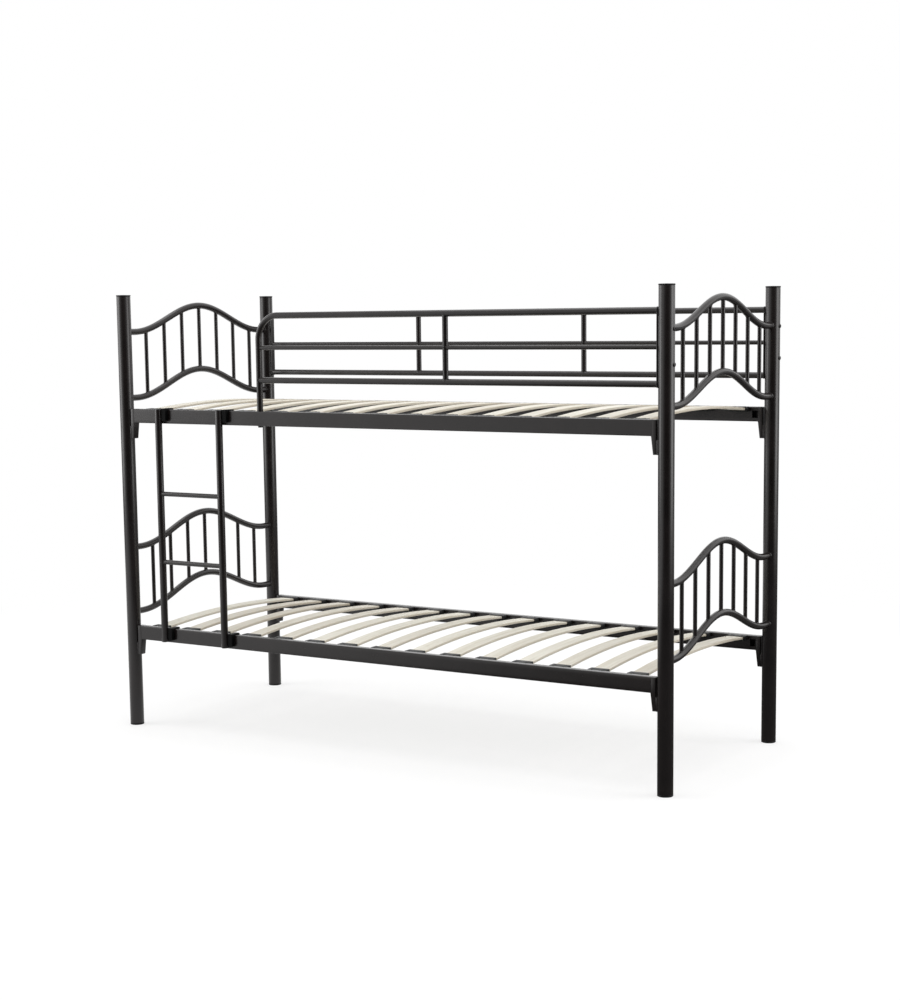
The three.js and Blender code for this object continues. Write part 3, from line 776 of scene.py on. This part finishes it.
def ring_on_bar(radius, at, direction):
    """A ring of weld round a bar at a point, facing along the bar."""
    ring = weld_ring("bar_ring", radius)
    facing = Vector(direction).to_track_quat("Z", "Y").to_matrix().to_4x4()
    ring.data.transform(Matrix.Translation(at) @ facing)
    return ring


def guard_upright(x):
    """An upright between the top and bottom bars, welded where it meets each bar."""
    low, high = Vector((x, 0, guard_bottom)), Vector((x, 0, guard_top))
    parts = [rod("upright", GUARD_UPRIGHT_RADIUS, low, high)]
    for height, radius, side in (
        (guard_bottom, GUARD_RADIUS, 1),
        (guard_top, GUARD_RADIUS, -1),
        (guard_middle, GUARD_MIDDLE_RADIUS, 1),
        (guard_middle, GUARD_MIDDLE_RADIUS, -1),
    ):
        ring = weld_ring("upright_ring", GUARD_UPRIGHT_RADIUS)
        for vertex in ring.data.vertices:
            away = min(abs(vertex.co.y), radius)
            vertex.co.z += height + side * math.sqrt(radius**2 - away**2)
            vertex.co.x += x
        parts.append(ring)
    return parts


rear_parts = [end_bar(-1), end_bar(1)]
for height, radius in BAR_RADII.items():
    rear_parts.append(rod("bar", radius, (-bar_end, 0, height), (bar_end, 0, height)))
    for side in (-1, 1):
        at = (side * (rear_high.x - END_BAR_THICKNESS), 0, height)
        rear_parts.append(ring_on_bar(radius, at, (1, 0, 0)))
for side in (-1, 1):
    rear_parts += guard_upright(side * (POST_AXES["rear_right"].x - REAR_UPRIGHT_INSET))
rear_guard = joined("welded_guard_rail_rear", rear_parts)
rear_guard.data.transform(Matrix.Translation((0, POST_AXES["rear_left"].y, 0)))

leg_x = front_low.x + GUARD_RADIUS
corner_centre = Vector((leg_x + CORNER_RADIUS, 0, guard_top - CORNER_RADIUS))
top_path = [Vector((leg_x, 0, front_low.z))]
for i in range(CORNER_STEPS + 1):
    angle = math.pi - i / CORNER_STEPS * math.pi / 2
    top_path.append(corner_centre + CORNER_RADIUS * Vector((math.cos(angle), 0, math.sin(angle))))
top_path.append(Vector((bar_end, 0, guard_top)))
front_parts = [end_bar(1), bent_tube("top_bar_and_leg", GUARD_RADIUS, top_path, bend_axis="Y", sides=32)]
for height, radius in BAR_RADII.items():
    at = (front_high.x - END_BAR_THICKNESS, 0, height)
    front_parts.append(ring_on_bar(radius, at, (1, 0, 0)))
    if height != guard_top:
        front_parts.append(rod("bar", radius, (leg_x, 0, height), (bar_end, 0, height)))
        ring = weld_ring("leg_ring", radius)
        ring.data.transform(Matrix.Rotation(math.pi / 2, 4, "Y"))
        for vertex in ring.data.vertices:
            away = min(abs(vertex.co.y), GUARD_RADIUS)
            vertex.co.x += leg_x + math.sqrt(GUARD_RADIUS**2 - away**2)
            vertex.co.z += height
        front_parts.append(ring)
front_parts += guard_upright((leg_x + bar_end) / 2)
front_guard = joined("welded_guard_rail_front", front_parts)
front_guard.data.transform(Matrix.Translation((0, POST_AXES["front_left"].y, 0)))
for piece, node in ((rear_guard, "guard_rail_rear"), (front_guard, "guard_rail_front")):
    finished(piece, steel_finish)
    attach(piece, "bed_frame")
    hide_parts(node)


# ---- Guard bolts ---------------------------------------------------------------------------------
# Black furniture bolts. Six round-headed ones, with a hexagon socket, pass through the posts into
# the guards' flat end bars, and one hexagon bolt holds the front guard's leg down from below.
BOLT_HEAD_RADIUS = 0.0068
BOLT_HEAD_HEIGHT = 0.0042
BOLT_KEY_RADIUS = 0.0029
BOLT_SEAT = 0.0229  # from the post's axis to the head's underside
BOLT_DOME = 0.62  # share of the head's height that is rounded
BOLT_KEY_FLOOR = 0.4  # share of the head's height under the socket
LOWER_BOLT_LIFT = 0.003  # above the middle of the lower two bars
WASHER_RADIUS = 0.0085
WASHER_THICKNESS = 0.0012
WASHER_EDGE = 0.0003
HEXAGON_EDGE = 0.0006
SHANK_RADIUS = 0.004

middle = (0, 0, BOLT_HEAD_HEIGHT / 2)
bpy.ops.mesh.primitive_cylinder_add(
    vertices=40, radius=BOLT_HEAD_RADIUS, depth=BOLT_HEAD_HEIGHT, location=middle
)
round_bolt = settled("round_bolt")
bpy.ops.object.mode_set(mode="EDIT")
pick_faces(lambda middle, normal: normal.z > 0.9)
bpy.ops.mesh.bevel(offset=BOLT_HEAD_HEIGHT * BOLT_DOME, segments=6, affect="EDGES")
bpy.ops.object.mode_set(mode="OBJECT")
key_low, key_high = (0, 0, BOLT_HEAD_HEIGHT * BOLT_KEY_FLOOR), (0, 0, BOLT_HEAD_HEIGHT * 2)
cut(round_bolt, rod("key", BOLT_KEY_RADIUS, key_low, key_high, sides=6))
finished(round_bolt, steel_finish)
BOLT_HEIGHTS = [(guard_top + guard_middle) / 2, (guard_middle + guard_bottom) / 2 + LOWER_BOLT_LIFT]
for corner in ("front_right", "rear_right", "rear_left"):
    axis = POST_AXES[corner]
    outward = 1 if axis.x > 0 else -1
    facing = Vector((outward, 0, 0)).to_track_quat("Z", "Y").to_matrix().to_4x4()
    for number, height in enumerate(BOLT_HEIGHTS, 1):
        seat = Matrix.Translation((axis.x + outward * BOLT_SEAT, axis.y, height))
        piece = copied(round_bolt, f"guard_bolt_{corner}_{number}", seat @ facing)
        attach(piece, "bed_frame")
bpy.data.objects.remove(round_bolt)

bolt_low, bolt_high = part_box("guard_leg_bolt")
leg_axis = (leg_x, POST_AXES["front_left"].y)
seat = (*leg_axis, RAIL_TOPS["upper"] - RAIL_HEIGHT)
washer_face = (*leg_axis, seat[2] - WASHER_THICKNESS)
washer = rod("washer", WASHER_RADIUS, washer_face, seat, sides=40)
shape_with(washer, "BEVEL", width=WASHER_EDGE, segments=2, limit_method="ANGLE")
head_radius = (bolt_high.y - bolt_low.y) / 2
head = rod("hexagon_head", head_radius, (*leg_axis, bolt_low.z), washer_face, sides=6)
shape_with(head, "BEVEL", width=HEXAGON_EDGE, segments=2, limit_method="ANGLE")
shank = rod("shank", SHANK_RADIUS, seat, (*leg_axis, bolt_high.z), sides=24)
leg_bolt = joined("hexagon_leg_bolt", [head, washer, shank])
finished(leg_bolt, steel_finish)
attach(leg_bolt, "bed_frame")
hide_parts("guard_leg_bolt")


# ---- Ladder --------------------------------------------------------------------------------------
# Two upright tubes with two thinner rungs welded between them. A rounded plastic plug closes each
# end of each upright. The whole ladder lifts off the side rails.
STILE_RADIUS = 0.012
RUNG_RADIUS = 0.008
RUNG_STEPS = [0.277, 0.512]  # above the uprights' lower ends
STILE_EDGE = 0.0005
STILE_PLUG_RADIUS = 0.0112
STILE_PLUG_DEPTH = 0.004  # inside the upright
STILE_PLUG_RISE = 0.0016  # outside it
STILE_PLUG_EDGE = 0.0012

ladder_low, ladder_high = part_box("ladder_frame")
stile_xs = (ladder_low.x + STILE_RADIUS, ladder_high.x - STILE_RADIUS)
stile_y = (ladder_low.y + ladder_high.y) / 2
ladder_parts = []
for x in stile_xs:
    low, high = (x, stile_y, ladder_low.z), (x, stile_y, ladder_high.z)
    stile = rod("stile", STILE_RADIUS, low, high, sides=40)
    shape_with(stile, "BEVEL", width=STILE_EDGE, segments=2, limit_method="ANGLE")
    ladder_parts.append(stile)
for step in RUNG_STEPS:
    height = ladder_low.z + step
    left, right = (stile_xs[0], stile_y, height), (stile_xs[1], stile_y, height)
    ladder_parts.append(rod("rung", RUNG_RADIUS, left, right))
    for x, side in ((stile_xs[0], 1), (stile_xs[1], -1)):
        ring = weld_ring("rung_ring", RUNG_RADIUS)
        ring.data.transform(Matrix.Rotation(math.pi / 2, 4, "Y"))
        for vertex in ring.data.vertices:
            vertex.co.x += x + side * math.sqrt(STILE_RADIUS**2 - vertex.co.y**2)
            vertex.co.y += stile_y
            vertex.co.z += height
        ladder_parts.append(ring)
ladder = joined("welded_ladder_frame", ladder_parts)
finished(ladder, steel_finish)
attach(ladder, "ladder")
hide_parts("ladder_frame")

for x, side in zip(stile_xs, ("left", "right")):
    for end, height, outward in (("top", ladder_high.z, 1), ("bottom", ladder_low.z, -1)):
        inner = (x, stile_y, height - outward * STILE_PLUG_DEPTH)
        outer = (x, stile_y, height + outward * STILE_PLUG_RISE)
        plug = rod(f"stile_plug_{side}_{end}", STILE_PLUG_RADIUS, inner, outer, sides=40)
        shape_with(plug, "BEVEL", width=STILE_PLUG_EDGE, segments=3, limit_method="ANGLE")
        finished(plug, plug_finish)
        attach(plug, "ladder")


# ---- Ladder hooks --------------------------------------------------------------------------------
# Black moulded blocks beside the uprights, two to a side rail. A finger reaches from each block over
# the rail's top and a short lip turns down behind it, so the ladder hangs and can be lifted off.
FINGER_THICKNESS = 0.004
LIP_LENGTH = 0.010
HOOK_CORNER = 0.008
HOOK_EDGE = 0.0014
HOOK_PLAY = 0.0003  # between the block and the rail

hook_low, hook_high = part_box("ladder_hook_upper_left")
finger_low = hook_high.z - FINGER_THICKNESS
block_back = POST_AXES["front_left"].y - RAIL_THICKNESS / 2 - HOOK_PLAY
lip_front = hook_high.y - FINGER_THICKNESS
hook = block("hook", hook_low, (hook_high.x, block_back, hook_high.z))
bpy.ops.object.mode_set(mode="EDIT")
bpy.ops.mesh.select_all(action="SELECT")
bpy.ops.mesh.bisect(plane_co=(0, 0, finger_low), plane_no=(0, 0, 1))
pick_faces(lambda middle, normal: normal.y > 0.9 and middle.z > finger_low)
reach = {"value": (0, lip_front - block_back, 0)}
bpy.ops.mesh.extrude_region_move(TRANSFORM_OT_translate=reach)
bpy.ops.mesh.extrude_region_move(TRANSFORM_OT_translate={"value": (0, FINGER_THICKNESS, 0)})
pick_faces(lambda middle, normal: normal.z < -0.9 and middle.y > lip_front)
bpy.ops.mesh.extrude_region_move(TRANSFORM_OT_translate={"value": (0, 0, -LIP_LENGTH)})
bottom = hook_low.z + NEAR
pick_edges(lambda first, second: max(first.z, second.z) < bottom and abs(first.x - second.x) < NEAR)
bpy.ops.mesh.bevel(offset=HOOK_CORNER, segments=8, affect="EDGES")
bpy.ops.object.mode_set(mode="OBJECT")
shape_with(hook, "BEVEL", width=HOOK_EDGE, segments=3, limit_method="ANGLE")
hook_finish = black_moulding("black_plastic_hooks", 700, 0.002, 0.004, 0.1)
finished(hook, hook_finish)
for deck in ("upper", "lower"):
    for side in ("left", "right"):
        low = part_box(f"ladder_hook_{deck}_{side}")[0]
        piece = copied(hook, f"moulded_hook_{deck}_{side}", Matrix.Translation(low - hook_low))
        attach(piece, "ladder")
        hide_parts(f"ladder_hook_{deck}_{side}")
bpy.data.objects.remove(hook)


# ---- Studio --------------------------------------------------------------------------------------
# A white floor in a white room, large soft lamps at both sides and above, and a camera at eye
# height beyond the bed's front right corner.
CAMERA_PLACE = (3.2984, -5.2596, 1.4059)
CAMERA_YAW = 31.69
CAMERA_PITCH = -7.214
CAMERA_ROLL = 0.647
CAMERA_LENS = 66.578
CAMERA_SENSOR = 36
CAMERA_SHIFT = (-0.00304, 0.05304)
LAMP_AIM = (0, 0, 0.8)
SURROUND_LIGHT = 0.54
WHITE = (1, 1, 1, 1)
DARK_END = (0.525, -0.851, 0.0)  # the way to the camera's end of the room
# The brightness of the walls at floor height, from behind the bed round to the dark end.
WALL_TONES = {0.0: 0.18, 0.25: 0.35, 0.5: 0.8, 0.65: 1.3, 0.73: 1.12, 0.86: 0.3, 0.95: 0.02}
BACK_WALL_RISE = (0.01, 0.10)  # between these heights the wall behind turns bright
BACK_WALL_TURN = (0, -0.5)  # and between these shares of the way round to it
FLOOR_RADIUS = 4.5
FLOOR_TONE = 0.45
FLOOR_LIGHT = 1.07  # falls on the open floor
FLOOR_WHITE = 1.05  # what the lens gets from it
SHADOW_DEPTH = 0.4
SHADOW_FADE = (2.4, 3.6)  # distances between which the floor turns plain white
MIRRORED_FLOOR_X = (-1.5, 0.15)
MIRRORED_FLOOR_TONES = (1.15, 0.12)


def ray_is(tree, *rays):
    """A socket that is 1 for rays of these kinds."""
    path = tree.nodes.new("ShaderNodeLightPath")
    seen = path.outputs[rays[0]]
    for ray in rays[1:]:
        either = tree.nodes.new("ShaderNodeMath")
        either.operation = "MAXIMUM"
        tree.links.new(seen, either.inputs[0])
        tree.links.new(path.outputs[ray], either.inputs[1])
        seen = either.outputs["Value"]
    return seen


def mixed(tree, factor, first, second):
    mix = tree.nodes.new("ShaderNodeMixShader")
    tree.links.new(factor, mix.inputs["Fac"])
    tree.links.new(first, mix.inputs[1])
    tree.links.new(second, mix.inputs[2])
    return mix.outputs["Shader"]


def smoothed(share):
    """Eases a spread value in and out at its ends."""
    share.node.interpolation_type = "SMOOTHSTEP"
    return share


camera_data = bpy.data.cameras.new("camera")
camera_data.lens = CAMERA_LENS
camera_data.sensor_width = CAMERA_SENSOR
camera_data.shift_x, camera_data.shift_y = CAMERA_SHIFT
camera = bpy.data.objects.new("camera", camera_data)
bpy.context.collection.objects.link(camera)
camera.matrix_world = (
    Matrix.Translation(CAMERA_PLACE)
    @ Matrix.Rotation(math.radians(CAMERA_YAW), 4, "Z")
    @ Matrix.Rotation(math.radians(90 + CAMERA_PITCH), 4, "X")
    @ Matrix.Rotation(math.radians(-CAMERA_ROLL), 4, "Z")
)
bpy.context.scene.camera = camera
bpy.context.scene.view_settings.view_transform = "Standard"

# The lens sees plain white all round. Reflections see the walls, which are bright at both sides
# and dark behind the camera. Behind the bed they are dim at floor height and bright above it.
world = bpy.data.worlds.new("studio")
world.use_nodes = True
bpy.context.scene.world = world
tree = world.node_tree
surround = tree.nodes["Background"]
surround.inputs["Color"].default_value = WHITE
surround.inputs["Strength"].default_value = SURROUND_LIGHT
direction = tree.nodes.new("ShaderNodeTexCoord").outputs["Generated"]
parts = tree.nodes.new("ShaderNodeSeparateXYZ")
towards_dark = tree.nodes.new("ShaderNodeVectorMath")
towards_dark.operation = "DOT_PRODUCT"
towards_dark.inputs[1].default_value = DARK_END
tree.links.new(direction, parts.inputs["Vector"])
tree.links.new(direction, towards_dark.inputs[0])
walls = tree.nodes.new("ShaderNodeValToRGB")
brightest = max(WALL_TONES.values())
stops = walls.color_ramp.elements
for place, tone in WALL_TONES.items():
    stop = stops[0] if place == 0 else stops.new(place)
    stop.color = (tone / brightest, tone / brightest, tone / brightest, 1)
stops[-1].color = stops[-2].color
way_round = towards_dark.outputs["Value"]
tree.links.new(spread(tree, way_round, 0, 1, start=-1, end=1), walls.inputs["Fac"])
above = smoothed(spread(tree, parts.outputs["Z"], 0, 1, *BACK_WALL_RISE))
behind = spread(tree, way_round, 0, 1, *BACK_WALL_TURN)
both_ways = tree.nodes.new("ShaderNodeMath")
both_ways.operation = "MULTIPLY"
tree.links.new(above, both_ways.inputs[0])
tree.links.new(behind, both_ways.inputs[1])
lighter = tree.nodes.new("ShaderNodeMix")
lighter.data_type = "RGBA"
lighter.inputs["B"].default_value = WHITE
tree.links.new(both_ways.outputs["Value"], lighter.inputs["Factor"])
tree.links.new(walls.outputs["Color"], lighter.inputs["A"])
mirrored_room = tree.nodes.new("ShaderNodeBackground")
mirrored_room.inputs["Strength"].default_value = brightest
tree.links.new(lighter.outputs["Result"], mirrored_room.inputs["Color"])
plain = tree.nodes.new("ShaderNodeBackground")
plain.inputs["Color"].default_value = WHITE
mirrors = ray_is(tree, "Is Glossy Ray", "Is Transmission Ray")
seen = mixed(tree, mirrors, surround.outputs["Background"], mirrored_room.outputs["Background"])
seen = mixed(tree, ray_is(tree, "Is Camera Ray"), seen, plain.outputs["Background"])
tree.links.new(seen, tree.nodes["World Output"].inputs["Surface"])

# The floor is white to the lens too, but near the bed it takes the bed's soft shadow. Bounced
# light finds it grey. Reflections find it bright towards the ladder's end and dim towards the
# other, as if that part lay in the dark end's shade.
bpy.ops.mesh.primitive_circle_add(vertices=96, radius=FLOOR_RADIUS, fill_type="NGON")
floor = settled("floor")
floor_finish = bpy.data.materials.new("floor_white")
floor_finish.use_nodes = True
tree = floor_finish.node_tree
paint = tree.nodes["Principled BSDF"]
paint.inputs["Base Color"].default_value = (FLOOR_TONE, FLOOR_TONE, FLOOR_TONE, 1)
paint.inputs["Roughness"].default_value = 0.9
soft_paint = tree.nodes.new("ShaderNodeBsdfDiffuse")
soft_paint.inputs["Color"].default_value = (SHADOW_DEPTH, SHADOW_DEPTH, SHADOW_DEPTH, 1)
glow = tree.nodes.new("ShaderNodeEmission")
glow.inputs["Strength"].default_value = FLOOR_WHITE - FLOOR_LIGHT * SHADOW_DEPTH
both = tree.nodes.new("ShaderNodeAddShader")
tree.links.new(soft_paint.outputs["BSDF"], both.inputs[0])
tree.links.new(glow.outputs["Emission"], both.inputs[1])
place = tree.nodes.new("ShaderNodeTexCoord").outputs["Object"]
distance = tree.nodes.new("ShaderNodeVectorMath")
distance.operation = "LENGTH"
tree.links.new(place, distance.inputs[0])
far = smoothed(spread(tree, distance.outputs["Value"], 0, 1, *SHADOW_FADE))
plain = tree.nodes.new("ShaderNodeEmission")
shadowed = mixed(tree, far, both.outputs["Shader"], plain.outputs["Emission"])
where = tree.nodes.new("ShaderNodeSeparateXYZ")
tree.links.new(place, where.inputs["Vector"])
dimming = spread(tree, where.outputs["X"], *MIRRORED_FLOOR_TONES, *MIRRORED_FLOOR_X)
mirrored_floor = tree.nodes.new("ShaderNodeEmission")
tree.links.new(dimming, mirrored_floor.inputs["Strength"])
mirrors = ray_is(tree, "Is Glossy Ray", "Is Transmission Ray")
surface = mixed(tree, mirrors, paint.outputs["BSDF"], mirrored_floor.outputs["Emission"])
surface = mixed(tree, ray_is(tree, "Is Camera Ray"), surface, shadowed)
tree.links.new(surface, tree.nodes["Material Output"].inputs["Surface"])
floor.data.materials.append(floor_finish)


def softbox(name, place, width, height, watts):
    """A large soft lamp that faces the bed."""
    lamp = bpy.data.lights.new(name, "AREA")
    lamp.shape = "RECTANGLE"
    lamp.size = width
    lamp.size_y = height
    lamp.energy = watts
    stand = bpy.data.objects.new(name, lamp)
    bpy.context.collection.objects.link(stand)
    facing = (Vector(LAMP_AIM) - Vector(place)).to_track_quat("-Z", "Y").to_matrix().to_4x4()
    stand.matrix_world = Matrix.Translation(place) @ facing


softbox("overhead", (0, -0.3, 8.0), width=8.5, height=7.3, watts=365)
softbox("left_side", (-4.2, -2.2, 2.0), width=2.6, height=3.0, watts=62)
softbox("right_side", (4.4, 1.2, 2.0), width=2.6, height=3.0, watts=62)
